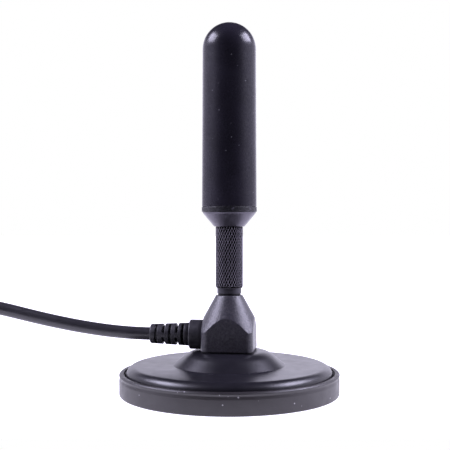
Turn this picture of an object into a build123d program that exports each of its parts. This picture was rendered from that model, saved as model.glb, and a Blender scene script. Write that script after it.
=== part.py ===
from build123d import *
import math
import os

# Magnetic-base antenna with a screw-in mast and a coax lead. Millimetres, +Z up, origin at the
# centre of the base's underside. The lead leaves the housing towards -X.

# ---- driving dimensions -------------------------------------------------------------------
# base
BOOT_R_TOP, BOOT_R_BOTTOM, BOOT_H = 41.6, 41.5, 8.0
BOOT_FLOOR, BOOT_LIP_R = 1.0, 39.75
DISH_R, DISH_ROLL, DISH_TOP, DISH_WALL = 39.0, 3.4, 10.45, 1.0
BOSS_R, BOSS_FOOT, BOSS_TOP, BOSS_SHOULDER_R = 21.2, 10.55, 15.95, 9.0
MAGNET_R, MAGNET_BORE, MAGNET_Z = 36.0, 15.0, (1.2, 6.8)
KEEPER_Z, PAD_Z = (6.8, 8.8), (8.8, 9.4)
# housing
HOUSING_Z, HOUSING_SHOULDER, HOUSING_TOP = 16.3, 28.4, 36.95
HOUSING_W_TOP, HOUSING_W_BOTTOM, HOUSING_CORNER = 19.23, 19.75, 3.03
HOUSING_TOP_R, HOUSING_SLOPE = 5.05, 0.555
HOUSING_CAVITY_R, HOUSING_CAVITY_TOP = 7.2, 27.6
SCREW_AT, SCREW_R, SCREW_HEAD_R = 6.1, 1.25, 2.2
# mast
THREAD_R, THREAD_PITCH, THREAD_TURNS = 2.5, 0.8, 8
WASHER_R, WASHER_T = 4.3, 0.55
COLLAR_R, COLLAR_TOP = 4.6, 39.6
NECK_R, NECK_Z = 5.2, (40.0, 62.9)
CONE_R_LOW, CONE_R_HIGH, CONE_TOP = 5.75, 10.1, 68.45
RING_R, RING_Z = 10.5, (68.45, 70.4)
RADOME_R_LOW, RADOME_R_HIGH, RADOME_WALL, MAST_TOP = 10.35, 10.15, 1.8, 140.3
# strain relief
EXIT_Z = 21.8
RELIEF_COLLAR_R, RELIEF_COLLAR_X = 5.6, -15.1
RELIEF_R_NEAR, RELIEF_R_FAR, RELIEF_X = 4.42, 3.68, (-15.1, -30.3)
RELIEF_SLOT_W, RELIEF_CORE_R = 0.95, 3.05
SIDE_SLOTS, TOP_SLOTS = (-17.5, -22.45, -27.8), (-19.75, -24.9)
# lead
CABLE_D = 4.95
COIL_X, COIL_Y, COIL_MEAN_R, COIL_ROWS = -140.0, 6.0, 28.7, 4
TIE_T, TIE_W = 0.8, 6.0
PLUG_X, PLUG_Y, PLUG_Z = -153.5, -35.7, 4.75

os.makedirs("parts", exist_ok=True)
nodes = {}


def turned(points):
    """A solid turned about Z from (radius, height) corners."""
    face = make_face(Polyline(*[(r, 0, z) for r, z in points], close=True))
    return revolve(face, Axis.Z, 360)


def rings(part, radius, z):
    """The circular edges of one radius at one height."""
    return [
        e
        for e in part.edges().filter_by(GeomType.CIRCLE)
        if abs(e.radius - radius) < 0.02 and abs(e.center().Z - z) < 0.02
    ]


def rod(radius, z0, z1, x=0.0, y=0.0):
    return Pos(x, y, (z0 + z1) / 2) * Cylinder(radius, z1 - z0)


def tube(outer, inner, z0, z1):
    return turned([(inner, z0), (outer, z0), (outer, z1), (inner, z1)])


def block(x0, x1, y0, y1, z0, z1):
    return Pos((x0 + x1) / 2, (y0 + y1) / 2, (z0 + z1) / 2) * Box(x1 - x0, y1 - y0, z1 - z0)


def along_x(part, x, y, z):
    """Lays a part made along +Z so that its +Z points to -X, with its start at (x, y, z)."""
    return Pos(x, y, z) * Rot(0, -90, 0) * part


# ---- base ---------------------------------------------------------------------------------
boot = turned(
    [
        (0, 0), (BOOT_R_BOTTOM, 0), (BOOT_R_TOP, BOOT_H), (BOOT_LIP_R, BOOT_H),
        (BOOT_LIP_R, BOOT_H - 0.7), (DISH_R + 0.04, BOOT_H - 1.4), (DISH_R + 0.04, BOOT_FLOOR), (0, BOOT_FLOOR),
    ]
)
boot = fillet(rings(boot, BOOT_R_BOTTOM, 0), 0.7)
boot = fillet(rings(boot, BOOT_R_TOP, BOOT_H), 0.55)
nodes["rubber_boot"] = boot

# dish and boss in one pressing: flat rim plane, sloping boss with a rounded shoulder
slope = 0.826  # fall of the boss's side
boss_knee = BOSS_R - (BOSS_TOP - BOSS_FOOT) / slope
cover_outer = turned(
    [
        (0, 1.5), (DISH_R, 1.5), (DISH_R, DISH_TOP), (BOSS_R, BOSS_FOOT),
        (boss_knee, BOSS_TOP), (0, BOSS_TOP),
    ]
)
cover_outer = fillet(rings(cover_outer, DISH_R, DISH_TOP), DISH_ROLL)
cover_outer = fillet(rings(cover_outer, boss_knee, BOSS_TOP), BOSS_SHOULDER_R)
w = DISH_WALL
knee_in = boss_knee - 0.2
cover_inner = turned(
    [
        (0, 1.0), (DISH_R - w, 1.0), (DISH_R - w, DISH_TOP - w), (BOSS_R - w - 0.4, BOSS_FOOT - w),
        (BOSS_R - 2.0, BOSS_FOOT + 0.9), (knee_in, BOSS_TOP - 1.4), (0, BOSS_TOP - 1.4),
    ]
)
cover_inner = fillet(rings(cover_inner, DISH_R - w, DISH_TOP - w), DISH_ROLL - w)
cover = cover_outer - cover_inner
screw_spots = [(sx * SCREW_AT, sy * SCREW_AT) for sx in (-1, 1) for sy in (-1, 1)]
for x, y in screw_spots:
    cover -= rod(SCREW_R + 0.15, BOSS_TOP - 3, BOSS_TOP + 1, x, y)
nodes["base_cover"] = cover

magnet = tube(MAGNET_R, MAGNET_BORE, *MAGNET_Z)
nodes["ring_magnet"] = chamfer(rings(magnet, MAGNET_R, MAGNET_Z[0]), 0.6)
nodes["keeper_plate"] = tube(MAGNET_R, MAGNET_BORE, *KEEPER_Z)
nodes["adhesive_pad"] = tube(33.0, 21.5, *PAD_Z)

# ---- housing ------------------------------------------------------------------------------
taper = math.degrees(math.atan((HOUSING_W_BOTTOM - HOUSING_W_TOP) / 2 / (HOUSING_SHOULDER - HOUSING_Z)))
square = Plane.XY.offset(HOUSING_Z) * RectangleRounded(HOUSING_W_BOTTOM, HOUSING_W_BOTTOM, HOUSING_CORNER)
shell = extrude(square, HOUSING_TOP - HOUSING_Z, taper=taper)
cone_foot = HOUSING_TOP_R + (HOUSING_TOP - HOUSING_Z) * HOUSING_SLOPE
shell &= turned([(0, HOUSING_Z), (cone_foot, HOUSING_Z), (HOUSING_TOP_R, HOUSING_TOP), (0, HOUSING_TOP)])
shell = fillet(rings(shell, HOUSING_TOP_R, HOUSING_TOP), 0.35)
shell -= rod(HOUSING_CAVITY_R, HOUSING_Z - 1, HOUSING_CAVITY_TOP)
shell -= rod(3.9, HOUSING_CAVITY_TOP - 1, HOUSING_TOP + 1)
for x, y in screw_spots:
    shell -= rod(SCREW_R, HOUSING_Z - 1, HOUSING_Z + 6.2, x, y)
shell -= Pos(-9, 0, EXIT_Z) * Rot(0, 90, 0) * Cylinder(3.95, 8)
nodes["housing_shell"] = shell

gasket = extrude(
    Plane.XY.offset(BOSS_TOP) * RectangleRounded(HOUSING_W_BOTTOM - 0.7, HOUSING_W_BOTTOM - 0.7, HOUSING_CORNER - 0.3),
    HOUSING_Z - BOSS_TOP,
)
gasket -= rod(6.4, BOSS_TOP - 1, HOUSING_Z + 1)
for x, y in screw_spots:
    gasket -= rod(SCREW_R + 0.1, BOSS_TOP - 1, HOUSING_Z + 1, x, y)
nodes["housing_gasket"] = gasket

screws = []
for x, y in screw_spots:
    screw = rod(SCREW_R, BOSS_TOP - 1.4, HOUSING_Z + 5.6, x, y) + rod(SCREW_HEAD_R, BOSS_TOP - 3.2, BOSS_TOP - 1.4, x, y)
    for turn in (0, 90):
        screw -= Pos(x, y, BOSS_TOP - 3.2) * Rot(0, 0, turn + 45) * Box(2.6, 0.5, 1.6)
    screws.append(screw)
nodes["housing_screws"] = Compound(children=screws)

# threaded socket for the mast, flanged from below; its bore stands for the thread's crests
nodes["socket_insert"] = turned(
    [
        (THREAD_R + 0.05, 26.0), (5.6, 26.0), (5.6, HOUSING_CAVITY_TOP), (3.88, HOUSING_CAVITY_TOP),
        (3.88, HOUSING_TOP - 0.05), (THREAD_R + 0.05, HOUSING_TOP - 0.05),
    ]
)
nodes["contact_insulator"] = turned(
    [(0.72, 24.2), (5.2, 24.2), (5.2, 26.0), (2.5, 26.0), (2.5, 28.4), (0.72, 28.4)]
)
nodes["feed_contact"] = turned(
    [(0, 20.75), (0.7, 20.75), (0.7, 28.4), (1.2, 28.4), (1.2, 28.9), (0, 28.9)]
)

# ---- strain relief --------------------------------------------------------------------------
relief_collar = turned([(0, 0), (RELIEF_COLLAR_R, 0), (RELIEF_COLLAR_R, 5.2), (0, 5.2)])
relief_collar = fillet(rings(relief_collar, RELIEF_COLLAR_R, 5.2), 0.45)
relief = along_x(relief_collar, RELIEF_COLLAR_X + 5.2, 0, EXIT_Z)
relief += along_x(
    fillet(
        rings(
            turned([(0, 0), (RELIEF_R_NEAR, 0), (RELIEF_R_FAR, RELIEF_X[0] - RELIEF_X[1]), (0, RELIEF_X[0] - RELIEF_X[1])]),
            RELIEF_R_FAR, RELIEF_X[0] - RELIEF_X[1],
        ),
        0.3,
    ),
    RELIEF_X[0], 0, EXIT_Z,
)
# neck through the wall
relief += along_x(turned([(0, 0), (3.9, 0), (3.9, 3.3), (0, 3.3)]), -7.0, 0, EXIT_Z)
relief -= block(RELIEF_COLLAR_X + 5.19, -9.7, -8, 8, EXIT_Z - 6, EXIT_Z + 6) - along_x(
    turned([(0, 0), (3.9, 0), (3.9, 6), (0, 6)]), -8, 0, EXIT_Z
)


def relief_groove(x, bridge_on_z):
    """One ring of two slots; the two bridges stand above and below, or in front and behind."""
    ring = along_x(turned([(RELIEF_CORE_R, 0), (7, 0), (7, RELIEF_SLOT_W), (RELIEF_CORE_R, RELIEF_SLOT_W)]), x + RELIEF_SLOT_W / 2, 0, EXIT_Z)
    if bridge_on_z:
        return ring - block(x - 2, x + 2, -0.95, 0.95, EXIT_Z - 9, EXIT_Z + 9)
    return ring - block(x - 2, x + 2, -9, 9, EXIT_Z - 0.95, EXIT_Z + 0.95)


for x in SIDE_SLOTS:
    relief -= relief_groove(x, True)
for x in TOP_SLOTS:
    relief -= relief_groove(x, False)
relief -= Pos(-18, 0, EXIT_Z) * Rot(0, 90, 0) * Cylinder(2.6, 40)
nodes["strain_relief"] = relief

# ---- the lead's prepared end, inside the housing -------------------------------------------
TUBE_START = -20.0
nodes["cable_stub"] = Pos((TUBE_START + 0.06 - 6.6) / 2, 0, EXIT_Z) * Rot(0, 90, 0) * Cylinder(CABLE_D / 2, -TUBE_START - 0.06 - 6.6)
nodes["crimp_ring"] = along_x(turned([(1.95, 0), (2.35, 0), (2.35, 2.6), (1.95, 2.6)]), -3.9, 0, EXIT_Z)
nodes["cable_braid"] = along_x(turned([(1.5, 0), (1.93, 0), (1.93, 3.0), (1.5, 3.0)]), -3.6, 0, EXIT_Z)
nodes["cable_dielectric"] = along_x(turned([(0.5, 0), (1.48, 0), (1.48, 4.2), (0.5, 4.2)]), -2.4, 0, EXIT_Z)
nodes["cable_conductor"] = along_x(turned([(0, 0), (0.48, 0), (0.48, 5.6), (0, 5.6)]), -0.95, 0, EXIT_Z)
# lug: a ring under one side of the socket's flange with a tail down to the crimp
lug = tube(6.9, 5.65, 26.6, 27.2) & block(-8, -2.5, -4.2, 4.2, 26, 28)
lug += block(-6.5, -5.75, -1.2, 1.2, 24.2, 26.9)
nodes["ground_lug"] = lug

# ---- mast -----------------------------------------------------------------------------------
WASHER_TOP = HOUSING_TOP + WASHER_T
nodes["seal_washer"] = tube(WASHER_R, THREAD_R + 0.15, HOUSING_TOP + 0.02, WASHER_TOP)

neck = turned(
    [
        (THREAD_R, WASHER_TOP + 0.03), (COLLAR_R, WASHER_TOP + 0.03), (COLLAR_R, COLLAR_TOP), (NECK_R - 0.25, COLLAR_TOP),
        (NECK_R, NECK_Z[0]), (NECK_R, NECK_Z[1]), (3.6, NECK_Z[1]), (3.6, 67.4), (1.6, 67.4), (1.6, 44.3), (THREAD_R, 44.3),
    ]
)
neck = chamfer(rings(neck, COLLAR_R, WASHER_TOP + 0.03), 0.25)
nodes["knurled_neck"] = neck
stud = tube(THREAD_R, 1.6, 29.5, 44.3)
nodes["mast_stud"] = chamfer(rings(stud, THREAD_R, 29.5), 0.4)
nodes["neck_insulator"] = tube(1.58, 0.62, 29.6, 67.4)
nodes["feed_rod"] = rod(0.6, 29.0, 70.8)

# cone between the neck and the radome, with a spigot that the radome and its ring slide over
cone = turned(
    [
        (3.62, NECK_Z[1] + 0.02), (CONE_R_LOW, NECK_Z[1] + 0.02), (9.75, 67.65), (CONE_R_HIGH, 68.2), (CONE_R_HIGH, CONE_TOP),
        (8.45, CONE_TOP), (8.45, 75.3), (7.3, 75.3), (7.3, 67.8), (3.62, 67.8),
    ]
)
nodes["cone_adapter"] = cone
ring = tube(RING_R, 8.47, RING_Z[0], RING_Z[1])
ring = chamfer(rings(ring, RING_R, RING_Z[0]) + rings(ring, RING_R, RING_Z[1]), 0.22)
nodes["radome_ring"] = ring

# radome: slightly tapered tube with a hemispherical end
cap_z = MAST_TOP - RADOME_R_HIGH
outer = turned([(0, RING_Z[1] + 0.02), (RADOME_R_LOW, RING_Z[1] + 0.02), (RADOME_R_HIGH, cap_z), (0, cap_z)])
outer += Pos(0, 0, cap_z) * Sphere(RADOME_R_HIGH)
inner = turned([(0, RING_Z[1] - 1), (8.5, RING_Z[1] - 1), (8.4, cap_z), (0, cap_z)])
inner += Pos(0, 0, cap_z) * Sphere(8.4)
radome = outer - inner
radome = chamfer(rings(radome, RADOME_R_LOW, RING_Z[1] + 0.02), 0.2)
nodes["radome"] = radome

nodes["board_holder"] = tube(7.25, 1.0, 67.85, 71.8) - block(-6.6, 6.6, -0.75, 0.55, 69.8, 72.8)
board = block(-6.5, 6.5, -0.5, 0.5, 70.9, 125.8)
nodes["radiator_board"] = board
# etched radiator: a stepped monopole with a folded upper end, on the board's front
foil = block(-0.9, 0.9, -0.65, -0.5, 70.9, 83.8)
foil += block(-5.6, 5.6, -0.65, -0.5, 83.8, 95.8)
foil += block(-5.6, -3.4, -0.65, -0.5, 95.8, 121.8)
foil += block(-5.6, 5.6, -0.65, -0.5, 119.8, 121.8)
foil += block(3.4, 5.6, -0.65, -0.5, 101.8, 121.8)
nodes["radiator_foil"] = foil
nodes["top_pad"] = rod(6.8, 125.85, 132.3)

# ---- the lead's route ---------------------------------------------------------------------
ROUTE = [
    (-20.0, 0.0, 21.8), (-32.0, 0.0, 21.65), (-44.5, -1.1, 22.5), (-57.4, -3.6, 24.55), (-71.0, -8.6, 28.0),
    (-84.6, -15.4, 32.5), (-98.0, -22.0, 35.85), (-111.0, -27.3, 36.4), (-124.0, -30.6, 33.6), (-136.5, -31.4, 29.1),
    (-148.5, -29.6, 24.9), (-159.5, -24.6, 21.6), (-168.2, -16.6, 19.3), (-173.6, -6.6, 18.0),
]
# short lead from the coil to the plug
TAIL = [
    (-130.7, -28.9, 3.3), (-138.5, -32.0, 3.4), (-146.5, -34.9, 4.3), (PLUG_X - 1.0, PLUG_Y, PLUG_Z),
]


def cord_path(points, name):
    """Straight runs joined by tangent arcs, each as large as its two runs allow."""
    pts = [Vector(*p) for p in points]
    radii = []
    for a, b, c in zip(pts, pts[1:], pts[2:]):
        u, v = b - a, c - b
        turn = math.radians(u.get_angle(v))
        radii.append(0.45 * min(u.length, v.length) / math.tan(turn / 2))
    print(name, "runs", [round((b - a).length, 1) for a, b in zip(pts, pts[1:])])
    print(name, "radii", [round(r, 1) for r in radii])
    return FilletPolyline(*pts, radius=radii)


def cord_tube(points, name):
    path = cord_path(points, name)
    start = path @ 0
    solid = sweep(Plane(origin=start, z_dir=path % 0) * Circle(CABLE_D / 2), path=path)
    want = math.pi * (CABLE_D / 2) ** 2 * path.length
    print(name, "length", round(path.length, 2), "volume", round(solid.volume, 1), "wanted", round(want, 1))
    return solid


nodes["cable_tube"] = cord_tube(ROUTE, "cable_tube")
nodes["cable_tail"] = cord_tube(TAIL, "cable_tail")

# the put-away length: a ring of the coil's outer shape, standing on its ties
half = COIL_ROWS * CABLE_D / 2
coil_in, coil_out, coil_z0, coil_z1 = COIL_MEAN_R - half, COIL_MEAN_R + half, TIE_T, TIE_T + 2 * half
coil = turned([(coil_in, coil_z0), (coil_out, coil_z0), (coil_out, coil_z1), (coil_in, coil_z1)])
coil = fillet(coil.edges().filter_by(GeomType.CIRCLE), 2.2)
nodes["cable_coil"] = Pos(COIL_X, COIL_Y, 0) * coil
ties = []
for angle in (60, 150):
    outer_loop = Pos(-0.12, 0, 0) * Box(2 * half + 0.3 + 2 * TIE_T, TIE_W, 2 * half + 2 * TIE_T)
    inner_loop = Pos(-0.12, 0, 0) * Box(2 * half + 0.34, TIE_W + 2, 2 * half + 0.04)
    loop = fillet((outer_loop).edges().filter_by(Axis.Y), 2.6) - fillet(inner_loop.edges().filter_by(Axis.Y), 1.9)
    # the locking head stands out of the loop's outer side
    loop += Pos(half + TIE_T + 1.15, 0, half - 5.6) * Box(2.5, TIE_W, 4.8)
    ties.append(Pos(COIL_X, COIL_Y, 0) * Rot(0, 0, angle) * Pos(COIL_MEAN_R, 0, TIE_T + half) * loop)
nodes["coil_ties"] = Compound(children=ties)

# ---- connector at the far end (screw-on, 50 ohm) ---------------------------------------------
def plug(part):
    return along_x(part, PLUG_X, PLUG_Y, PLUG_Z)


nodes["connector_ferrule"] = plug(
    fillet(rings(turned([(2.55, 0), (3.25, 0), (3.25, 9.4), (2.55, 9.4)]), 3.25, 0), 0.3)
)
nodes["connector_body"] = plug(
    turned(
        [
            (2.06, 9.45), (3.3, 9.45), (3.3, 10.6), (2.9, 10.6), (2.9, 12.0), (3.3, 12.0), (3.3, 15.4), (2.4, 15.4), (2.4, 16.9),
            (2.85, 16.9), (2.85, 17.9), (2.3, 17.9), (2.3, 22.6), (2.06, 22.6),
        ]
    )
)
nodes["connector_insulator"] = plug(turned([(0.48, 10.0), (2.04, 10.0), (2.04, 21.6), (0.48, 21.6)]))
pin = plug(fillet(rings(turned([(0, 9.6), (0.46, 9.6), (0.46, 24.0), (0, 24.0)]), 0.46, 24.0), 0.3))
nodes["connector_pin"] = pin
hexagon = extrude(Plane.XY.offset(17.2) * RegularPolygon(4.0, 6, major_radius=False), 7.0)
hexagon &= turned([(0, 17.2), (4.2, 17.2), (4.62, 17.6), (4.62, 23.8), (4.2, 24.2), (0, 24.2)])
nut = hexagon + turned([(0, 15.5), (3.7, 15.5), (3.7, 17.2), (0, 17.2)])
nut -= turned([(0, 15.0), (2.46, 15.0), (2.46, 16.8), (3.0, 16.8), (3.0, 25.0), (0, 25.0)])
nodes["connector_nut"] = plug(nut)
nodes["connector_gasket"] = plug(turned([(2.4, 18.2), (2.95, 18.2), (2.95, 19.0), (2.4, 19.0)]))

for name, part in nodes.items():
    export_step(part, os.path.join("parts", name + ".step"))
print(len(nodes), "nodes")
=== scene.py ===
import bpy
import bmesh
import math
import random
from mathutils import Vector, Matrix


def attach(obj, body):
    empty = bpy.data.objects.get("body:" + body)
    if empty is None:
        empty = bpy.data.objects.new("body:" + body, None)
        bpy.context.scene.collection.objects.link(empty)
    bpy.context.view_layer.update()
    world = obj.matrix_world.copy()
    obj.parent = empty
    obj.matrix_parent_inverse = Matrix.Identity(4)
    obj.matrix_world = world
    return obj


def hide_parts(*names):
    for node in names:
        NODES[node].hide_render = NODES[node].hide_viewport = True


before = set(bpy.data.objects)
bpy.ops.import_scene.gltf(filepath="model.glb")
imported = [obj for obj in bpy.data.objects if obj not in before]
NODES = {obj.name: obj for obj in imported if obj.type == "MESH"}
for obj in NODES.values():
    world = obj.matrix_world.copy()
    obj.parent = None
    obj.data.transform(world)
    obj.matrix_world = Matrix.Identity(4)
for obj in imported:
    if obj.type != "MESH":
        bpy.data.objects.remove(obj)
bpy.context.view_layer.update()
MM = 0.001

# =============================================================================================
# camera: level, a little to the right of the housing's front
# =============================================================================================
CAM_DIST, CAM_HIGH, CAM_TURN, FOCAL_PX = 0.310, 0.0622, math.radians(7.0), 815.6
cam_data = bpy.data.cameras.new("camera")
cam_data.sensor_width = 36.0
cam_data.sensor_fit = "HORIZONTAL"
cam_data.lens = FOCAL_PX / 450.0 * 36.0
cam_data.shift_x = -4.3 / 450.0
cam_data.shift_y = 3.4 / 450.0
cam_data.clip_start = 0.01
cam_data.clip_end = 50.0
cam = bpy.data.objects.new("camera", cam_data)
cam.location = (CAM_DIST * math.sin(CAM_TURN), -CAM_DIST * math.cos(CAM_TURN), CAM_HIGH)
cam.rotation_euler = (math.radians(90), 0, CAM_TURN)
bpy.context.scene.collection.objects.link(cam)
bpy.context.scene.camera = cam

# =============================================================================================
# small helpers
# =============================================================================================
def link(obj):
    bpy.context.scene.collection.objects.link(obj)
    return obj


def mesh_obj(name, verts, faces, smooth=True):
    me = bpy.data.meshes.new(name)
    me.from_pydata([tuple(v) for v in verts], [], faces)
    me.update()
    bm = bmesh.new()
    bm.from_mesh(me)
    bmesh.ops.remove_doubles(bm, verts=bm.verts, dist=2e-7)
    bmesh.ops.dissolve_degenerate(bm, dist=1e-7, edges=bm.edges)
    bmesh.ops.recalc_face_normals(bm, faces=bm.faces)
    bm.to_mesh(me)
    bm.free()
    if smooth:
        me.shade_smooth()
    return link(bpy.data.objects.new(name, me))


def weighted(obj):
    mod = obj.modifiers.new("weighted", "WEIGHTED_NORMAL")
    mod.keep_sharp = True
    mod.weight = 60
    return obj


def rounded(points, close=True, tight=0.12):
    """Rounds a profile's corners: points are (r, z) or (r, z, fillet) in mm. A short edge stands on both sides of each arc."""
    n = len(points)
    out = []
    for i, p in enumerate(points):
        r = p[2] if len(p) > 2 else 0.0
        here = Vector((p[0], p[1]))
        if not close and i in (0, n - 1):
            out.append(tuple(here))
            continue
        a = Vector(points[(i - 1) % n][:2]) - here
        b = Vector(points[(i + 1) % n][:2]) - here
        if r <= 0 or a.length < 1e-6 or b.length < 1e-6:
            out.append(tuple(here))
            continue
        ang = a.angle(b)
        cut = r / math.tan(ang / 2)
        cut = min(cut, 0.49 * a.length, 0.49 * b.length)
        r = cut * math.tan(ang / 2)
        a.normalize(); b.normalize()
        pa, pb = here + a * cut, here + b * cut
        centre = here + (a + b).normalized() * (r / math.sin(ang / 2))
        steps = max(3, min(26, int(math.degrees(math.pi - ang) / 6) + int(r * 1.4)))
        t = min(tight, 0.3 * cut)
        out.append(tuple(pa + a * t))
        va, vb = pa - centre, pb - centre
        total = va.angle(vb)
        for k in range(steps + 1):
            s = k / steps
            q = (va * math.sin((1 - s) * total) + vb * math.sin(s * total)) / math.sin(total)
            out.append(tuple(centre + q))
        out.append(tuple(pb + b * t))
    clean = [out[0]]
    for q in out[1:]:
        if (Vector(q) - Vector(clean[-1])).length > 0.004:
            clean.append(q)
    return clean


def split_long(profile, longest, close=True):
    out = []
    n = len(profile)
    for i in range(n if close else n - 1):
        a, b = Vector(profile[i]), Vector(profile[(i + 1) % n])
        k = max(1, math.ceil((b - a).length / longest))
        for j in range(k):
            out.append(tuple(a.lerp(b, j / k)))
    if not close:
        out.append(profile[-1])
    return out


def lathe(name, profile, seg=192, close=True, place=None, shape=None):
    """Turns a closed profile, (r, z) in mm, about Z. shape(r, z, phi) may return a new (r, z)."""
    verts, faces, rows = [], [], []
    for r, z in profile:
        if r < 1e-5:
            rows.append([len(verts)] * seg)
            verts.append(Vector((0, 0, z * MM)))
        else:
            row = []
            for k in range(seg):
                phi = 2 * math.pi * k / seg
                rr, zz = shape(r, z, phi) if shape else (r, z)
                row.append(len(verts))
                verts.append(Vector((rr * math.cos(phi), rr * math.sin(phi), zz)) * MM)
            rows.append(row)
    n = len(rows)
    for i in range(n if close else n - 1):
        a, b = rows[i], rows[(i + 1) % n]
        if a[0] == a[1] and b[0] == b[1]:
            continue
        for k in range(seg):
            m = (k + 1) % seg
            f = [a[k], a[m], b[m], b[k]]
            g = []
            for v in f:
                if v not in g:
                    g.append(v)
            if len(g) > 2:
                faces.append(g)
    if place is not None:
        verts = [place @ v for v in verts]
    return weighted(mesh_obj(name, verts, faces))


def smoothstep(a, b, x):
    t = max(0.0, min(1.0, (x - a) / (b - a)))
    return t * t * (3 - 2 * t)


# =============================================================================================
# materials
# =============================================================================================
class Mat:
    """A Principled material with helpers that add procedural detail in the row frame's metres."""

    def __init__(self, name, color, rough, metal=0.0, spec=0.5, ior=1.5, coat=0.0, coat_rough=0.2):
        self.m = bpy.data.materials.new(name)
        self.m.use_nodes = True
        self.nt = self.m.node_tree
        self.b = self.nt.nodes["Principled BSDF"]
        self.color = tuple(color) + (1.0,)
        self.b.inputs["Base Color"].default_value = self.color
        self.b.inputs["Roughness"].default_value = rough
        self.b.inputs["Metallic"].default_value = metal
        self.b.inputs["Specular IOR Level"].default_value = spec
        self.b.inputs["IOR"].default_value = ior
        self.b.inputs["Coat Weight"].default_value = coat
        self.b.inputs["Coat Roughness"].default_value = coat_rough
        self.tc = self.nt.nodes.new("ShaderNodeTexCoord")
        self.last_normal = None

    def new(self, kind, **kw):
        n = self.nt.nodes.new(kind)
        for k, v in kw.items():
            setattr(n, k, v)
        return n

    def wire(self, a, b):
        self.nt.links.new(a, b)

    def coords(self, scale=(1, 1, 1)):
        mp = self.new("ShaderNodeMapping")
        mp.inputs["Scale"].default_value = scale
        self.wire(self.tc.outputs["Object"], mp.inputs["Vector"])
        return mp.outputs["Vector"]

    def noise(self, scale, detail=3.0, rough=0.5, stretch=(1, 1, 1), kind="noise", distort=0.0):
        if kind == "noise":
            n = self.new("ShaderNodeTexNoise")
            n.inputs["Roughness"].default_value = rough
            n.inputs["Distortion"].default_value = distort
            n.inputs["Detail"].default_value = detail
            out = n.outputs["Fac"]
        else:
            n = self.new("ShaderNodeTexVoronoi")
            out = n.outputs["Distance"]
        n.inputs["Scale"].default_value = scale
        self.wire(self.coords(stretch), n.inputs["Vector"])
        return out

    def ramp(self, fac, stops):
        r = self.new("ShaderNodeValToRGB")
        el = r.color_ramp.elements
        while len(el) < len(stops):
            el.new(0.5)
        for e, (p, c) in zip(el, stops):
            e.position = p
            e.color = tuple(c) + (1.0,) if len(c) == 3 else c
        self.wire(fac, r.inputs["Fac"])
        return r.outputs["Color"]

    def map(self, value, a, b, c, d, smooth=False):
        m = self.new("ShaderNodeMapRange")
        if smooth:
            m.interpolation_type = "SMOOTHSTEP"
        m.inputs["From Min"].default_value = a
        m.inputs["From Max"].default_value = b
        m.inputs["To Min"].default_value = c
        m.inputs["To Max"].default_value = d
        self.wire(value, m.inputs["Value"])
        return m.outputs["Result"]

    def mix(self, fac, a, b, kind="MIX"):
        m = self.new("ShaderNodeMix", data_type="RGBA", blend_type=kind)
        for sock, v in ((m.inputs[6], a), (m.inputs[7], b)):
            if isinstance(v, tuple):
                sock.default_value = v if len(v) == 4 else v + (1.0,)
            else:
                self.wire(v, sock)
        if isinstance(fac, float):
            m.inputs[0].default_value = fac
        else:
            self.wire(fac, m.inputs[0])
        return m.outputs[2]

    def set_color(self, out):
        self.wire(out, self.b.inputs["Base Color"])
        return self

    def set_rough(self, out):
        self.wire(out, self.b.inputs["Roughness"])
        return self

    def bump(self, height, distance, strength=1.0):
        n = self.new("ShaderNodeBump")
        n.inputs["Strength"].default_value = strength
        n.inputs["Distance"].default_value = distance
        self.wire(height, n.inputs["Height"])
        if self.last_normal is not None:
            self.wire(self.last_normal, n.inputs["Normal"])
        self.last_normal = n.outputs["Normal"]
        self.wire(self.last_normal, self.b.inputs["Normal"])
        return self

    def set_spec(self, out):
        self.wire(out, self.b.inputs["Specular IOR Level"])
        return self

    def axis(self, which):
        s = self.new("ShaderNodeSeparateXYZ")
        self.wire(self.tc.outputs["Object"], s.inputs["Vector"])
        return s.outputs[which]


def vary(m, scale, amount, detail=4.0, stretch=(1, 1, 1)):
    """Base colour that drifts a little either side of its own value."""
    c = m.color
    lo = tuple(max(0.0, v * (1 - amount)) for v in c[:3])
    hi = tuple(min(1.0, v * (1 + amount)) for v in c[:3])
    m.set_color(m.ramp(m.noise(scale, detail, stretch=stretch), [(0.3, lo), (0.7, hi)]))
    return m


def specks(m, under, scale, share, size, color):
    """Sparse dust: small round dots of a lighter colour over an existing colour."""
    v = m.new("ShaderNodeTexVoronoi")
    v.inputs["Scale"].default_value = scale
    m.wire(m.coords(), v.inputs["Vector"])
    cell = m.new("ShaderNodeSeparateColor")
    m.wire(v.outputs["Color"], cell.inputs["Color"])
    few = m.map(cell.outputs[0], 1.0 - share, 1.0 - share * 0.7, 0.0, 1.0)
    dot = m.map(v.outputs["Distance"], size * 0.4, size, 1.0, 0.0, smooth=True)
    both = m.new("ShaderNodeMath", operation="MULTIPLY")
    m.wire(few, both.inputs[0])
    m.wire(dot, both.inputs[1])
    m.set_color(m.mix(both.outputs[0], under, color))


def tones(m, scale, amount, detail=4.0):
    lo = tuple(v * (1 - amount) for v in m.color[:3])
    hi = tuple(min(1.0, v * (1 + amount)) for v in m.color[:3])
    return m.ramp(m.noise(scale, detail), [(0.3, lo), (0.7, hi)])


# moulded radome: satin black with a very fine grain and a little dust
M_RADOME = Mat("radome_black", (0.0190, 0.0172, 0.0258), 0.26, spec=0.5, ior=1.5)
specks(M_RADOME, tones(M_RADOME, 90, 0.25), 420, 0.24, 0.12, (0.20, 0.195, 0.22))
M_RADOME.set_rough(M_RADOME.map(M_RADOME.noise(350, 3), 0.3, 0.7, 0.22, 0.30))
M_RADOME.set_spec(M_RADOME.map(M_RADOME.noise(1500, 3, 0.7), 0.36, 0.64, 0.20, 0.37))
M_RADOME.bump(M_RADOME.noise(1500, 3, 0.65), 0.000015, 0.6)

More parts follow.
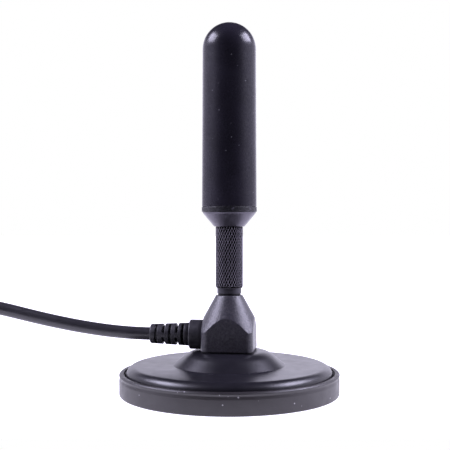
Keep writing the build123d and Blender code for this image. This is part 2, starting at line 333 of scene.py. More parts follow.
# ring under the radome: rough, with painted glints: lighter patches scattered by noise over the whole ring
M_RING = Mat("ring_black", (0.009, 0.0085, 0.012), 0.5, spec=0.45)
# painted glints: a noise mask that mixes a lighter colour into the ring's dark base
_glint_patches = M_RING.map(M_RING.noise(520, 4, 0.65), 0.54, 0.68, 0.0, 1.0, smooth=True)
M_RING.set_color(M_RING.mix(_glint_patches, (0.009, 0.0085, 0.012), (0.10, 0.095, 0.12)))
M_RING.set_rough(M_RING.map(M_RING.noise(900, 2), 0.3, 0.7, 0.42, 0.62))
M_RING.bump(M_RING.noise(1500, 4, 0.6), 0.00006, 0.8)

# turned cone: dark anodised metal with faint turning marks
M_CONE = Mat("cone_anodised", (0.098, 0.092, 0.112), 0.36, metal=0.85, spec=0.5)
vary(M_CONE, 140, 0.12)
M_CONE.bump(M_CONE.noise(700, 2, stretch=(0.02, 0.02, 6.0)), 0.000006, 0.6)
M_CONE.bump(M_CONE.noise(4200, 2), 0.000008, 0.5)
M_CONE.set_rough(M_CONE.map(M_CONE.noise(500, 3), 0.3, 0.7, 0.31, 0.42))

# knurled sleeve and collar: same metal; the knurl's pits are painted near-black with little reflection, as painted
# shade in the recesses
M_NECK = Mat("neck_anodised", (0.15, 0.142, 0.168), 0.42, metal=0.4, spec=0.4)
_flat = M_NECK.new("ShaderNodeVectorMath", operation="MULTIPLY")
_flat.inputs[1].default_value = (1.0, 1.0, 0.0)
M_NECK.wire(M_NECK.tc.outputs["Object"], _flat.inputs[0])
_len = M_NECK.new("ShaderNodeVectorMath", operation="LENGTH")
M_NECK.wire(_flat.outputs["Vector"], _len.inputs[0])
# painted shade: a mask for the knurl's pits, where the surface lies deeper than the crests
_pit_shade_mask = M_NECK.map(_len.outputs["Value"], 0.00509, 0.00517, 1.0, 0.0, smooth=True)
_high = M_NECK.map(M_NECK.axis("Z"), 0.0397, 0.0399, 0.0, 1.0)
_knurl_pit_shade = M_NECK.new("ShaderNodeMath", operation="MULTIPLY")
M_NECK.wire(_pit_shade_mask, _knurl_pit_shade.inputs[0])
M_NECK.wire(_high, _knurl_pit_shade.inputs[1])
_tone = M_NECK.ramp(M_NECK.noise(160, 4), [(0.3, (0.215, 0.202, 0.237)), (0.7, (0.275, 0.260, 0.303))])
_collar = M_NECK.ramp(M_NECK.noise(160, 4), [(0.3, (0.042, 0.0395, 0.049)), (0.7, (0.056, 0.053, 0.065))])
# the pits get a near-black colour: painted shade
M_NECK.set_color(M_NECK.mix(_knurl_pit_shade.outputs[0], M_NECK.mix(_high, _collar, _tone), (0.0018, 0.0017, 0.0022)))
M_NECK.set_rough(M_NECK.map(M_NECK.noise(800, 3), 0.3, 0.7, 0.38, 0.52))
# the pits' reflection is turned down too: painted shade
M_NECK.set_spec(M_NECK.map(_knurl_pit_shade.outputs[0], 0.0, 1.0, 0.4, 0.01))
M_NECK.bump(M_NECK.noise(3800, 2), 0.000008, 0.6)

# cast housing: black coating with a sparkling coarse grain
M_HOUSING = Mat("housing_coat", (0.0420, 0.0397, 0.0497), 0.4, spec=0.5, ior=1.5)
vary(M_HOUSING, 120, 0.2)
M_HOUSING.bump(M_HOUSING.noise(1100, 4, 0.75), 0.00012, 0.8)
M_HOUSING.set_spec(M_HOUSING.map(M_HOUSING.noise(1300, 4, 0.75), 0.36, 0.64, 0.28, 0.88))
M_HOUSING.set_rough(M_HOUSING.map(M_HOUSING.noise(1300, 2), 0.3, 0.7, 0.32, 0.46))

# base cover: semi-gloss black paint
M_COVER = Mat("cover_paint", (0.0095, 0.0088, 0.0128), 0.33, spec=0.5, ior=1.5)
vary(M_COVER, 60, 0.15)
M_COVER.bump(M_COVER.noise(2900, 2), 0.000004, 0.4)
M_COVER.set_rough(M_COVER.map(M_COVER.noise(240, 3), 0.3, 0.7, 0.31, 0.36))

# rubber boot: semi-matt, faint mould grain, small dust specks
M_BOOT = Mat("boot_rubber", (0.0176, 0.0152, 0.0170), 0.45, spec=0.58)
specks(M_BOOT, tones(M_BOOT, 38, 0.15, 5.0), 330, 0.65, 0.12, (0.30, 0.29, 0.31))
M_BOOT.set_rough(M_BOOT.map(M_BOOT.noise(260, 4), 0.3, 0.7, 0.40, 0.50))
M_BOOT.bump(M_BOOT.noise(1500, 4, 0.6), 0.00003, 0.5)
M_BOOT.bump(M_BOOT.noise(150, 3), 0.00004, 0.3)

# strain relief: matt moulded vinyl
M_RELIEF = Mat("relief_vinyl", (0.031, 0.0293, 0.0355), 0.5, spec=0.45)
vary(M_RELIEF, 260, 0.3)
M_RELIEF.set_rough(M_RELIEF.map(M_RELIEF.noise(700, 3), 0.3, 0.7, 0.42, 0.58))
M_RELIEF.bump(M_RELIEF.noise(1300, 4, 0.6), 0.00005, 0.55)

# lead's jacket: semi-gloss
M_JACKET = Mat("jacket_vinyl", (0.0345, 0.0325, 0.0395), 0.36, spec=0.5)
vary(M_JACKET, 120, 0.2)
M_JACKET.set_rough(M_JACKET.map(M_JACKET.noise(180, 3), 0.3, 0.7, 0.31, 0.43))
M_JACKET.bump(M_JACKET.noise(700, 3), 0.00002, 0.35)

M_SEAL = Mat("seal_rubber", (0.012, 0.0115, 0.0125), 0.6, spec=0.4)
M_SEAL.bump(M_SEAL.noise(1800, 3), 0.00002, 0.5)
vary(M_SEAL, 300, 0.2)

M_TIE = Mat("tie_nylon", (0.016, 0.016, 0.017), 0.33, spec=0.5)
M_TIE.bump(M_TIE.noise(900, 2), 0.00002, 0.4)
vary(M_TIE, 200, 0.25)

M_GOLD = Mat("gold_plate", (0.86, 0.62, 0.26), 0.2, metal=1.0)
M_GOLD.set_rough(M_GOLD.map(M_GOLD.noise(600, 4), 0.3, 0.7, 0.14, 0.3))
vary(M_GOLD, 240, 0.06)
M_GOLD.bump(M_GOLD.noise(1600, 3), 0.000006, 0.6)

M_STEEL = Mat("zinc_steel", (0.56, 0.57, 0.58), 0.34, metal=1.0)
M_STEEL.set_rough(M_STEEL.map(M_STEEL.noise(420, 5), 0.3, 0.7, 0.26, 0.46))
vary(M_STEEL, 120, 0.1)
M_BRASS = Mat("turned_brass", (0.73, 0.52, 0.22), 0.28, metal=1.0)
M_BRASS.set_rough(M_BRASS.map(M_BRASS.noise(500, 4), 0.3, 0.7, 0.2, 0.38))
vary(M_BRASS, 150, 0.1)
M_NICKEL = Mat("nickel", (0.66, 0.63, 0.58), 0.25, metal=1.0)
vary(M_NICKEL, 300, 0.08)
M_COPPER = Mat("copper", (0.78, 0.36, 0.2), 0.3, metal=1.0)
vary(M_COPPER, 400, 0.14)
M_PTFE = Mat("ptfe", (0.86, 0.86, 0.83), 0.42, spec=0.4)
M_PTFE.b.inputs["Subsurface Weight"].default_value = 0.1
M_PTFE.b.inputs["Subsurface Radius"].default_value = (0.001, 0.001, 0.001)
vary(M_PTFE, 300, 0.03)
M_FOAM = Mat("foam", (0.05, 0.05, 0.055), 0.9, spec=0.2)
M_FOAM.bump(M_FOAM.noise(2200, 3, kind="voronoi"), 0.0002, 0.8)
vary(M_FOAM, 700, 0.3)
M_FERRITE = Mat("ferrite", (0.06, 0.06, 0.066), 0.6, spec=0.5)
M_FERRITE.bump(M_FERRITE.noise(1200, 5), 0.00005, 0.6)
vary(M_FERRITE, 90, 0.25)
M_BOARD = Mat("board_mask", (0.015, 0.11, 0.045), 0.3, spec=0.5, coat=0.4)
vary(M_BOARD, 500, 0.15)
M_HOLDER = Mat("holder_plastic", (0.6, 0.6, 0.56), 0.45)
vary(M_HOLDER, 300, 0.05)


def paint(obj, mat):
    obj.data.materials.clear()
    obj.data.materials.append(mat.m)
    return obj


for node, mat in {
    "ring_magnet": M_FERRITE, "keeper_plate": M_STEEL, "adhesive_pad": M_FOAM, "housing_screws": M_STEEL,
    "socket_insert": M_BRASS, "contact_insulator": M_PTFE, "feed_contact": M_GOLD, "ground_lug": M_STEEL,
    "cable_stub": M_JACKET, "crimp_ring": M_NICKEL, "cable_braid": M_COPPER, "cable_dielectric": M_PTFE,
    "cable_conductor": M_COPPER, "mast_stud": M_BRASS, "neck_insulator": M_PTFE, "feed_rod": M_BRASS,
    "board_holder": M_HOLDER, "radiator_board": M_BOARD, "radiator_foil": M_COPPER, "top_pad": M_FOAM,
}.items():
    NODES[node].data.materials.clear()
    NODES[node].data.materials.append(mat.m)

# =============================================================================================
# the lead
# =============================================================================================
CABLE_D = 4.95
ROUTE = [
    (-20.0, 0.0, 21.8), (-32.0, 0.0, 21.65), (-44.5, -1.1, 22.5), (-57.4, -3.6, 24.55), (-71.0, -8.6, 28.0),
    (-84.6, -15.4, 32.5), (-98.0, -22.0, 35.85), (-111.0, -27.3, 36.4), (-124.0, -30.6, 33.6), (-136.5, -31.4, 29.1),
    (-148.5, -29.6, 24.9), (-159.5, -24.6, 21.6), (-168.2, -16.6, 19.3), (-173.6, -6.6, 18.0),
]
TAIL = [(-130.7, -28.9, 3.3), (-138.5, -32.0, 3.4), (-146.5, -34.9, 4.3), (-154.5, -35.7, 4.75)]
COIL_X, COIL_Y, COIL_MEAN_R, COIL_ROWS, TIE_T, TIE_W = -140.0, 6.0, 28.7, 4, 0.8, 6.0
PLUG = (-153.5, -35.7, 4.75)
half = COIL_ROWS * CABLE_D / 2

# sixteen points a turn; each layer is wound flat, and its strands step across and down in one short sector
slots_r = [COIL_MEAN_R + CABLE_D * k for k in (1.5, 0.5, -0.5, -1.5)]
layers_z = [TIE_T + CABLE_D * k for k in (3.5, 2.5, 1.5, 0.5)]
stations = []  # (radius, height) of each whole turn
for layer, z in enumerate(layers_z):
    for r in (slots_r if layer % 2 == 0 else slots_r[::-1]):
        stations.append((r, z))
STEP = 2 * math.pi / 16
JOG_A, JOG_B = math.radians(268), math.radians(214)
phi = math.radians(180)
end_phi = math.radians(285 + 14) - 2 * math.pi * 16 + 0.0
coil_points = []
while phi > end_phi:
    turns_done = (math.radians(200) - phi) / (2 * math.pi)
    k = int(math.floor(turns_done + 1e-9))
    k = max(0, min(k, len(stations) - 1))
    within = (phi - math.radians(200)) % (2 * math.pi)  # angle left before this turn's end
    ang = (math.degrees(phi)) % 360
    r, z = stations[k]
    if 200 < ang <= 268 and k + 1 < len(stations):
        s = smoothstep(268, 212, ang) if False else 1 - smoothstep(212, 268, ang)
        r2, z2 = stations[k + 1]
        r, z = r + (r2 - r) * s, z + (z2 - z) * s
    grow = 1 / 0.981
    coil_points.append((COIL_X + r * grow * math.cos(phi), COIL_Y + r * grow * math.sin(phi), z))
    phi -= STEP
all_points = ROUTE + coil_points + TAIL

curve = bpy.data.curves.new("lead", "CURVE")
curve.dimensions = "3D"
spline = curve.splines.new("NURBS")
spline.points.add(len(all_points) - 1)
for p, q in zip(spline.points, all_points):
    p.co = (q[0] * MM, q[1] * MM, q[2] * MM, 1.0)
spline.order_u = 3
spline.use_endpoint_u = True
spline.resolution_u = 8
curve.resolution_u = 8
curve.render_resolution_u = 8
curve.bevel_depth = CABLE_D / 2 * MM
curve.bevel_resolution = 8
curve.use_fill_caps = True
lead = link(bpy.data.objects.new("lead", curve))
lead.data.materials.append(M_JACKET.m)
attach(lead, "base")
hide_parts("cable_tube", "cable_tail", "cable_coil", "cable_stub")

# =============================================================================================
# base
# =============================================================================================
boot_profile = rounded(
    [
        (0, 0), (41.5, 0, 0.5), (41.55, 5.6, 1.5), (41.38, 6.7, 0.8), (41.62, 7.5, 0.35), (41.1, 8.0, 0.3), (39.75, 8.03, 0.25),
        (39.72, 7.3, 0.1), (39.06, 6.6, 0.2), (39.04, 1.0, 0.2), (0, 1.0),
    ]
)
boot = lathe("rubber_boot_visual", split_long(boot_profile, 2.5), seg=288,
             shape=lambda r, z, p: (r + (0.035 * math.sin(3 * p + 1.1) + 0.02 * math.sin(7 * p) + 0.012 * math.sin(17 * p + z)) * (1 if r > 39.9 else 0), z))
paint(boot, M_BOOT)
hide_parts("rubber_boot")
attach(boot, "base")

cover_profile = rounded(
    [
        (0, 15.95), (14.66, 15.95, 9.0), (21.2, 10.55, 0.6), (39.0, 10.45, 3.4), (39.0, 1.5, 0.3), (38.0, 1.5, 0.3),
        (38.0, 9.45, 2.4), (19.8, 9.55, 0.3), (19.2, 11.45, 0.5), (14.46, 14.55, 2.0), (0, 14.55),
    ]
)
cover = lathe("base_cover_visual", split_long(cover_profile, 3.0), seg=288)
paint(cover, M_COVER)
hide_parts("base_cover")
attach(cover, "base")

# =============================================================================================
# housing: a rounded square block whose top is turned to a cone
# =============================================================================================
H_Z0, H_Z1, H_RT, H_SL = 16.3, 36.95, 5.05, 0.555
W_TOP, W_BOT, SHOULDER, CORNER = 19.23, 19.75, 28.4, 3.03
draft = (W_BOT - W_TOP) / 2 / (SHOULDER - H_Z0)


def wall_r(phi, z):
    h = W_BOT / 2 - draft * (z - H_Z0)
    rc = CORNER - draft * (z - H_Z0)
    c, s = abs(math.cos(phi)), abs(math.sin(phi))
    flat = h / max(c, s)
    if min(c, s) * flat <= h - rc:
        return flat
    k = h - rc
    dot = k * (c + s)
    return dot + math.sqrt(max(0.0, dot * dot - (2 * k * k - rc * rc)))


def cone_r(z):
    return H_RT + (H_Z1 - z) * H_SL


def meet_z(phi):
    lo, hi = H_Z0, H_Z1
    for _ in range(40):
        mid = (lo + hi) / 2
        if cone_r(mid) > wall_r(phi, mid):
            lo = mid
        else:
            hi = mid
    return (lo + hi) / 2


def housing_mesh():
    seg = 384
    cols = []
    for k in range(seg):
        phi = 2 * math.pi * k / seg
        zm = meet_z(phi)
        pts = [(7.2, H_Z0), (7.6, H_Z0), (8.6, H_Z0)]
        foot = wall_r(phi, H_Z0)
        pts += [(foot - 0.4, H_Z0), (foot - 0.28, H_Z0 + 0.01), (foot - 0.12, H_Z0 + 0.07), (foot - 0.03, H_Z0 + 0.18), (wall_r(phi, H_Z0 + 0.34), H_Z0 + 0.34)]
        z0 = H_Z0 + 0.5
        n = 16
        top = zm - 0.22
        for i in range(n + 1):
            z = z0 + (top - z0) * i / n
            pts.append((wall_r(phi, z), z))
        # small rounded arris where the wall meets the cone
        for d in (-0.12, -0.05):
            z = zm + d
            pts.append((wall_r(phi, z) - 0.008 * (1 + (0.12 + d) * 8), z))
        pts.append((wall_r(phi, zm) - 0.035, zm))
        for d in (0.05, 0.12):
            z = zm + d
            pts.append((cone_r(z) - 0.008 * (1 + (0.12 - d) * 8), z))
        z1 = zm + 0.22
        ztop = H_Z1 - 0.5
        m = 22
        for i in range(m + 1):
            z = z1 + (ztop - z1) * i / m
            pts.append((cone_r(z), z))
        c0 = cone_r(H_Z1)
        pts += [(c0 + 0.13, H_Z1 - 0.24), (c0 + 0.02, H_Z1 - 0.12), (c0 - 0.11, H_Z1 - 0.035), (c0 - 0.28, H_Z1), (c0 - 0.42, H_Z1)]
        pts += [(3.95, H_Z1), (3.9, H_Z1 - 0.05), (3.9, 32.0), (3.9, 27.65), (4.0, 27.6), (7.1, 27.6), (7.2, 27.5), (7.2, 22.0), (7.2, H_Z0 + 0.05)]
        cols.append([Vector((r * math.cos(phi), r * math.sin(phi), z)) * MM for r, z in pts])
    rows = len(cols[0])
    verts = [v for col in cols for v in col]
    faces = []
    for k in range(seg):
        a, b = k * rows, ((k + 1) % seg) * rows
        for i in range(rows):
            j = (i + 1) % rows
            faces.append([a + i, b + i, b + j, a + j])
    return weighted(mesh_obj("housing_visual", verts, faces))


housing = housing_mesh()
paint(housing, M_HOUSING)
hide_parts("housing_shell")
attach(housing, "base")

def gasket_mesh():
    seg, cols = 256, []
    for k in range(seg):
        phi = 2 * math.pi * k / seg
        w = wall_r(phi, H_Z0) - 0.35
        pts = [(6.4, 15.96), (w - 0.05, 15.96), (w, 16.01), (w, 16.24), (w - 0.05, 16.29), (6.4, 16.29)]
        cols.append([Vector((r * math.cos(phi), r * math.sin(phi), z)) * MM for r, z in pts])
    rows = len(cols[0])
    verts = [v for col in cols for v in col]
    faces = [[k * rows + i, ((k + 1) % seg) * rows + i, ((k + 1) % seg) * rows + (i + 1) % rows, k * rows + (i + 1) % rows]
             for k in range(seg) for i in range(rows)]
    return weighted(mesh_obj("housing_gasket_visual", verts, faces))


gasket = gasket_mesh()
paint(gasket, M_SEAL)
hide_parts("housing_gasket")
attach(gasket, "base")

# =============================================================================================
# strain relief: collar and a tapered tail with alternating pairs of slots
# =============================================================================================
EXIT_Z = 21.8
TO_LEFT = Matrix.Translation(Vector((0, 0, EXIT_Z * MM))) @ Matrix.Rotation(math.radians(-90), 4, "Y")


def relief_mesh():
    core, bridge = 3.05, 0.95
    sides, tops = (17.5, 22.45, 27.8), (19.75, 24.9)
    w = 0.95

    def outer(s):
        if s < 15.1:
            return 5.6
        return 4.42 + (3.68 - 4.42) * (s - 15.1) / (30.3 - 15.1)

    # profile along the lead: (distance, radius, slot kind, slot depth share)
    prof = [(9.91, 2.6, 0, 0), (9.91, 5.3, 0, 0), (9.95, 5.52, 0, 0), (10.08, 5.6, 0, 0), (11.5, 5.6, 0, 0), (13.0, 5.6, 0, 0),
            (14.5, 5.6, 0, 0), (14.68, 5.59, 0, 0), (14.86, 5.52, 0, 0), (15.0, 5.4, 0, 0), (15.08, 5.25, 0, 0), (15.1, 5.1, 0, 0),
            (15.1, 4.3, 0, 0), (15.14, 4.18, 0, 0), (15.3, 4.15, 0, 0), (15.42, 4.2, 0, 0), (15.5, 4.32, 0, 0), (15.62, 4.39, 0, 0)]
    cuts = sorted([(x, 1) for x in sides] + [(x, 2) for x in tops])
    for x, kind in cuts:
        a, b = x - w / 2, x + w / 2
        for s, d in ((a - 0.32, 0), (a - 0.2, 0.0), (a - 0.1, 0.03), (a - 0.03, 0.1), (a, 0.22), (a, 0.6), (a + 0.02, 0.85), (a + 0.1, 0.97),
                     (a + 0.22, 1), (b - 0.22, 1), (b - 0.1, 0.97), (b - 0.02, 0.85), (b, 0.6), (b, 0.22), (b + 0.03, 0.1), (b + 0.1, 0.03), (b + 0.2, 0.0), (b + 0.32, 0)):
            prof.append((s, outer(s), kind, d))
    prof += [(29.3, outer(29.3), 0, 0), (29.75, outer(29.75), 0, 0), (29.98, outer(30) - 0.02, 0, 0), (30.16, outer(30.1) - 0.1, 0, 0), (30.27, outer(30.3) - 0.24, 0, 0),
             (30.3, outer(30.3) - 0.42, 0, 0), (30.3, 2.75, 0, 0), (30.25, 2.6, 0, 0), (20.0, 2.6, 0, 0)]
    # angles, denser at the bridges' sides. angle 0 points up
    marks = []
    for base in (0, 90, 180, 270):
        for e in (-13.5, 13.5):
            for d in (-2.2, -1.2, -0.5, 0.0, 0.5, 1.2, 2.2):
                marks.append((base + e + d) % 360)
    marks += [a for a in range(0, 360, 3) if all(abs((a - m + 180) % 360 - 180) > 0.8 for m in marks)]
    marks = sorted(set(round(m, 3) for m in marks))

    def open_share(kind, deg):
        if kind == 0:
            return 0.0
        centre = 0 if kind == 1 else 90  # bridges above and below, or in front and behind
        d = abs(((deg - centre + 90) % 180) - 90)
        return smoothstep(13.0, 14.2, d)

    cols = []
    for deg in marks:
        t = math.radians(deg)
        col = []
        for s, r, kind, depth in prof:
            share = open_share(kind, deg)
            rr = r - (r - core) * depth * share
            # along local +Z; angle measured from the top
            col.append(TO_LEFT @ (Vector((rr * math.cos(t), rr * math.sin(t), s)) * MM))
        cols.append(col)
    rows, seg = len(prof), len(marks)
    verts = [v for col in cols for v in col]
    faces = [[k * rows + i, ((k + 1) % seg) * rows + i, ((k + 1) % seg) * rows + (i + 1) % rows, k * rows + (i + 1) % rows]
             for k in range(seg) for i in range(rows)]
    return weighted(mesh_obj("strain_relief_visual", verts, faces))


relief = relief_mesh()
paint(relief, M_RELIEF)
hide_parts("strain_relief")
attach(relief, "base")

# =============================================================================================
# mast
# =============================================================================================
washer = lathe("seal_washer_visual", rounded([(2.65, 36.97, 0.1), (4.3, 36.97, 0.15), (4.3, 37.5, 0.15), (2.65, 37.5, 0.1)]), seg=128)
paint(washer, M_SEAL)
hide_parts("seal_washer")
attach(washer, "seal")

KN_Z0, KN_Z1, KN_R = 40.0, 62.9, 5.2
KN_COUNT, KN_PITCH, KN_DEEP = 32, 2.137, 0.5


def neck_mesh():
    seg = KN_COUNT * 12
    rows = []
    low = rounded([(2.5, 37.53), (4.6, 37.53, 0.25), (4.6, 39.6, 0.12), (4.9, 39.65, 0.1), (5.02, 39.9)], close=False)
    for r, z in low:
        rows.append((r, z, 0.0))
    n = int((KN_Z1 - KN_Z0) / KN_PITCH * 16)
    for i in range(n + 1):
        z = KN_Z0 + (KN_Z1 - KN_Z0) * i / n
        edge = smoothstep(0, 0.35, z - KN_Z0) * smoothstep(0, 0.3, KN_Z1 - z)
        rows.append((KN_R, z, edge))
    for r, z in ((4.7, 62.9), (3.65, 62.9), (3.6, 62.95), (3.6, 67.35), (3.55, 67.4), (1.65, 67.4), (1.6, 67.3), (1.6, 44.3), (2.5, 44.3)):
        rows.append((r, z, 0.0))
    look = math.radians(-90 + 7.0)
    verts = []
    for r, z, edge in rows:
        for k in range(seg):
            phi = 2 * math.pi * k / seg
            rr = r
            if r == KN_R:
                u = (phi - look) * KN_COUNT / (2 * math.pi)
                v = (z - 61.3) / KN_PITCH
                a, b = u + v, u - v
                ta, tb = abs(a - round(a)), abs(b - round(b))
                pit = 1 - smoothstep(0.23, 0.445, max(ta, tb))
                rr = r - 0.02 - KN_DEEP * pit * edge - 0.16 * (1 - edge)
            verts.append(Vector((rr * math.cos(phi), rr * math.sin(phi), z)) * MM)
    faces = []
    nrow = len(rows)
    for i in range(nrow):
        a, b = i * seg, ((i + 1) % nrow) * seg
        for k in range(seg):
            m = (k + 1) % seg
            faces.append([a + k, a + m, b + m, b + k])
    obj = mesh_obj("neck_visual", verts, faces)
    return obj


neck = neck_mesh()
paint(neck, M_NECK)
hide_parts("knurled_neck")
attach(neck, "mast")

cone_profile = rounded(
    [
        (3.62, 62.92, 0.1), (5.75, 62.92, 0.12), (9.75, 67.65, 0.8), (10.1, 68.2, 0.1), (10.1, 68.43, 0.05), (8.45, 68.43, 0.05),
        (8.45, 75.3, 0.2), (7.3, 75.3, 0.2), (7.3, 67.85, 0.2), (3.62, 67.85, 0.1),
    ]
)
cone = lathe("cone_visual", split_long(cone_profile, 1.5), seg=192)
paint(cone, M_CONE)
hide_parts("cone_adapter")
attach(cone, "mast")

random.seed(11)
_phase = [random.uniform(0, 6.28) for _ in range(24)]
_amp = [random.uniform(0.3, 1.0) for _ in range(24)]


def rough_edge(phi, z):
    s = 0.0
    for i in range(24):
        s += _amp[i] * math.sin((i + 5) * phi + _phase[i] + z * (1.3 + 0.4 * i))
    return s / 9.0


ring_profile = rounded([(8.48, 68.47, 0.1), (10.5, 68.47, 0.25), (10.5, 70.36, 0.3), (8.48, 70.36, 0.1)])
ring = lathe("radome_ring_visual", split_long(ring_profile, 0.3), seg=320,
             shape=lambda r, z, p: (r - max(0.0, 0.05 + 0.05 * rough_edge(p, z)) if r > 9.0 else r,
                                    z + (0.05 * rough_edge(p + 1.7, 0.0) * smoothstep(69.5, 70.3, z) if r > 9.0 else 0.0)))
paint(ring, M_RING)
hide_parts("radome_ring")
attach(ring, "mast")

top_r, cap_z, wall = 10.15, 140.3 - 10.15, 1.8
radome_profile = rounded([(8.5, 70.42, 0.08), (10.35, 70.42, 0.22), (10.325, 78.0)], close=False)
for i in range(1, 14):
    s = i / 14
    radome_profile.append((10.35 + (top_r - 10.35) * (78 - 70.42 + s * (cap_z - 78)) / (cap_z - 70.42), 78 + s * (cap_z - 78)))
for i in range(0, 41):
    t = math.radians(90 * i / 40)
    radome_profile.append((top_r * math.cos(t), cap_z + top_r * math.sin(t)))
radome_profile[-1] = (0.0, cap_z + top_r)
for i in range(0, 21):
    t = math.radians(90 - 90 * i / 20)
    radome_profile.append((8.4 * math.cos(t) if i else 0.0, cap_z + 8.4 * math.sin(t)))
radome_profile += [(8.42, 116.0), (8.46, 90.0)]
radome = lathe("radome_visual", radome_profile, seg=256)
paint(radome, M_RADOME)
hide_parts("radome")
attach(radome, "mast")

# =============================================================================================
# ties round the coil
# =============================================================================================
def tie_mesh(name, angle):
    place = Matrix.Translation(Vector((COIL_X, COIL_Y, 0)) * MM) @ Matrix.Rotation(math.radians(angle), 4, "Z") @ Matrix.Translation(
        Vector((COIL_MEAN_R, 0, TIE_T + half)) * MM)
    loop = []
    a, b, rc = half + 0.05, half + 0.02, 2.3
    for cx, cz, start in ((a - rc, b - rc, 0), (-a + rc, b - rc, 90), (-a + rc, -b + rc, 180), (a - rc, -b + rc, 270)):
        for i in range(9):
            t = math.radians(start + 90 * i / 8)
            loop.append((cx, cz, math.cos(t), math.sin(t)))
    section = [(0.0, -2.85), (0.0, 2.85), (0.1, 3.0), (0.62, 3.0), (0.74, 2.85), (0.74, -2.85), (0.62, -3.0), (0.1, -3.0)]
    verts, faces = [], []
    for cx, cz, nx, nz in loop:
        for out, y in section:
            verts.append(Vector((cx + nx * (rc + out), y, cz + nz * (rc + out))))
    n, m = len(loop), len(section)
    for i in range(n):
        for j in range(m):
            faces.append([i * m + j, ((i + 1) % n) * m + j, ((i + 1) % n) * m + (j + 1) % m, i * m + (j + 1) % m])
    bm = bmesh.new()
    vs = [bm.verts.new(v) for v in verts]
    for f in faces:
        bm.faces.new([vs[i] for i in f])
    # locking head on the outer side, and the trimmed end standing out of it
    def box(x0, x1, y0, y1, z0, z1, bevel):
        geo = bmesh.ops.create_cube(bm, size=1.0)
        for v in geo["verts"]:
            v.co = Vector(((x0 + x1) / 2 + v.co.x * (x1 - x0), (y0 + y1) / 2 + v.co.y * (y1 - y0), (z0 + z1) / 2 + v.co.z * (z1 - z0)))
        edges = list({e for v in geo["verts"] for e in v.link_edges})
        bmesh.ops.bevel(bm, geom=edges, offset=bevel, segments=3, affect="EDGES", profile=0.5)
    x_out = a + 0.74
    box(x_out - 0.3, x_out + 2.3, -3.0, 3.0, half - 8.0, half - 3.2, 0.45)
    box(x_out + 0.5, x_out + 1.3, -2.0, 2.0, half - 3.6, half - 1.9, 0.18)
    for v in bm.verts:
        v.co = place @ (v.co * MM)
    me = bpy.data.meshes.new(name)
    bmesh.ops.recalc_face_normals(bm, faces=bm.faces)
    bm.to_mesh(me)
    bm.free()
    me.shade_smooth()
    return weighted(link(bpy.data.objects.new(name, me)))


ties = [tie_mesh("coil_tie_a", 60), tie_mesh("coil_tie_b", 150)]
for t in ties:
    paint(t, M_TIE)
    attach(t, "base")
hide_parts("coil_ties")

# =============================================================================================
# connector
# =============================================================================================
TO_PLUG = Matrix.Translation(Vector(PLUG) * MM) @ Matrix.Rotation(math.radians(-90), 4, "Y")


def crimp_shape(r, z, p):
    if r < 3.0 or not 1.6 < z < 8.0:
        return r, z
    h = 3.0 / max(abs(math.cos(p + k * math.pi / 3)) for k in range(3))
    s = smoothstep(1.6, 2.1, z) * (1 - smoothstep(7.5, 8.0, z))
    return r + (min(h, 3.3) - r) * s, z


ferrule = lathe("connector_ferrule_visual", split_long(rounded([(2.55, 0, 0.1), (3.25, 0, 0.3), (3.25, 9.4, 0.15), (2.55, 9.4, 0.1)]), 0.25), seg=144, place=TO_PLUG, shape=crimp_shape)
body = lathe("connector_body_visual", rounded(
    [(2.06, 9.45, 0.05), (3.3, 9.45, 0.15), (3.3, 10.6, 0.15), (2.9, 10.6, 0.1), (2.9, 12.0, 0.1), (3.3, 12.0, 0.15), (3.3, 15.4, 0.2), (2.4, 15.4, 0.05),
     (2.4, 16.9, 0.05), (2.85, 16.9, 0.1), (2.85, 17.9, 0.1), (2.3, 17.9, 0.05), (2.3, 22.6, 0.1), (2.06, 22.6, 0.05)], tight=0.04), seg=128, place=TO_PLUG)
insul = lathe("connector_insulator_visual", rounded([(0.48, 10.0), (2.04, 10.0), (2.04, 21.6, 0.08), (0.48, 21.6, 0.05)], tight=0.03), seg=64, place=TO_PLUG)
pin = lathe("connector_pin_visual", [(0, 9.6), (0.4, 9.6), (0.46, 9.66), (0.46, 16), (0.46, 23.2), (0.43, 23.55), (0.34, 23.8), (0.18, 23.95), (0, 24.0)], seg=48, close=False, place=TO_PLUG)
seal = lathe("connector_gasket_visual", rounded([(2.4, 18.2, 0.1), (2.95, 18.2, 0.1), (2.95, 19.0, 0.2), (2.4, 19.0, 0.2)], tight=0.03), seg=64, place=TO_PLUG)


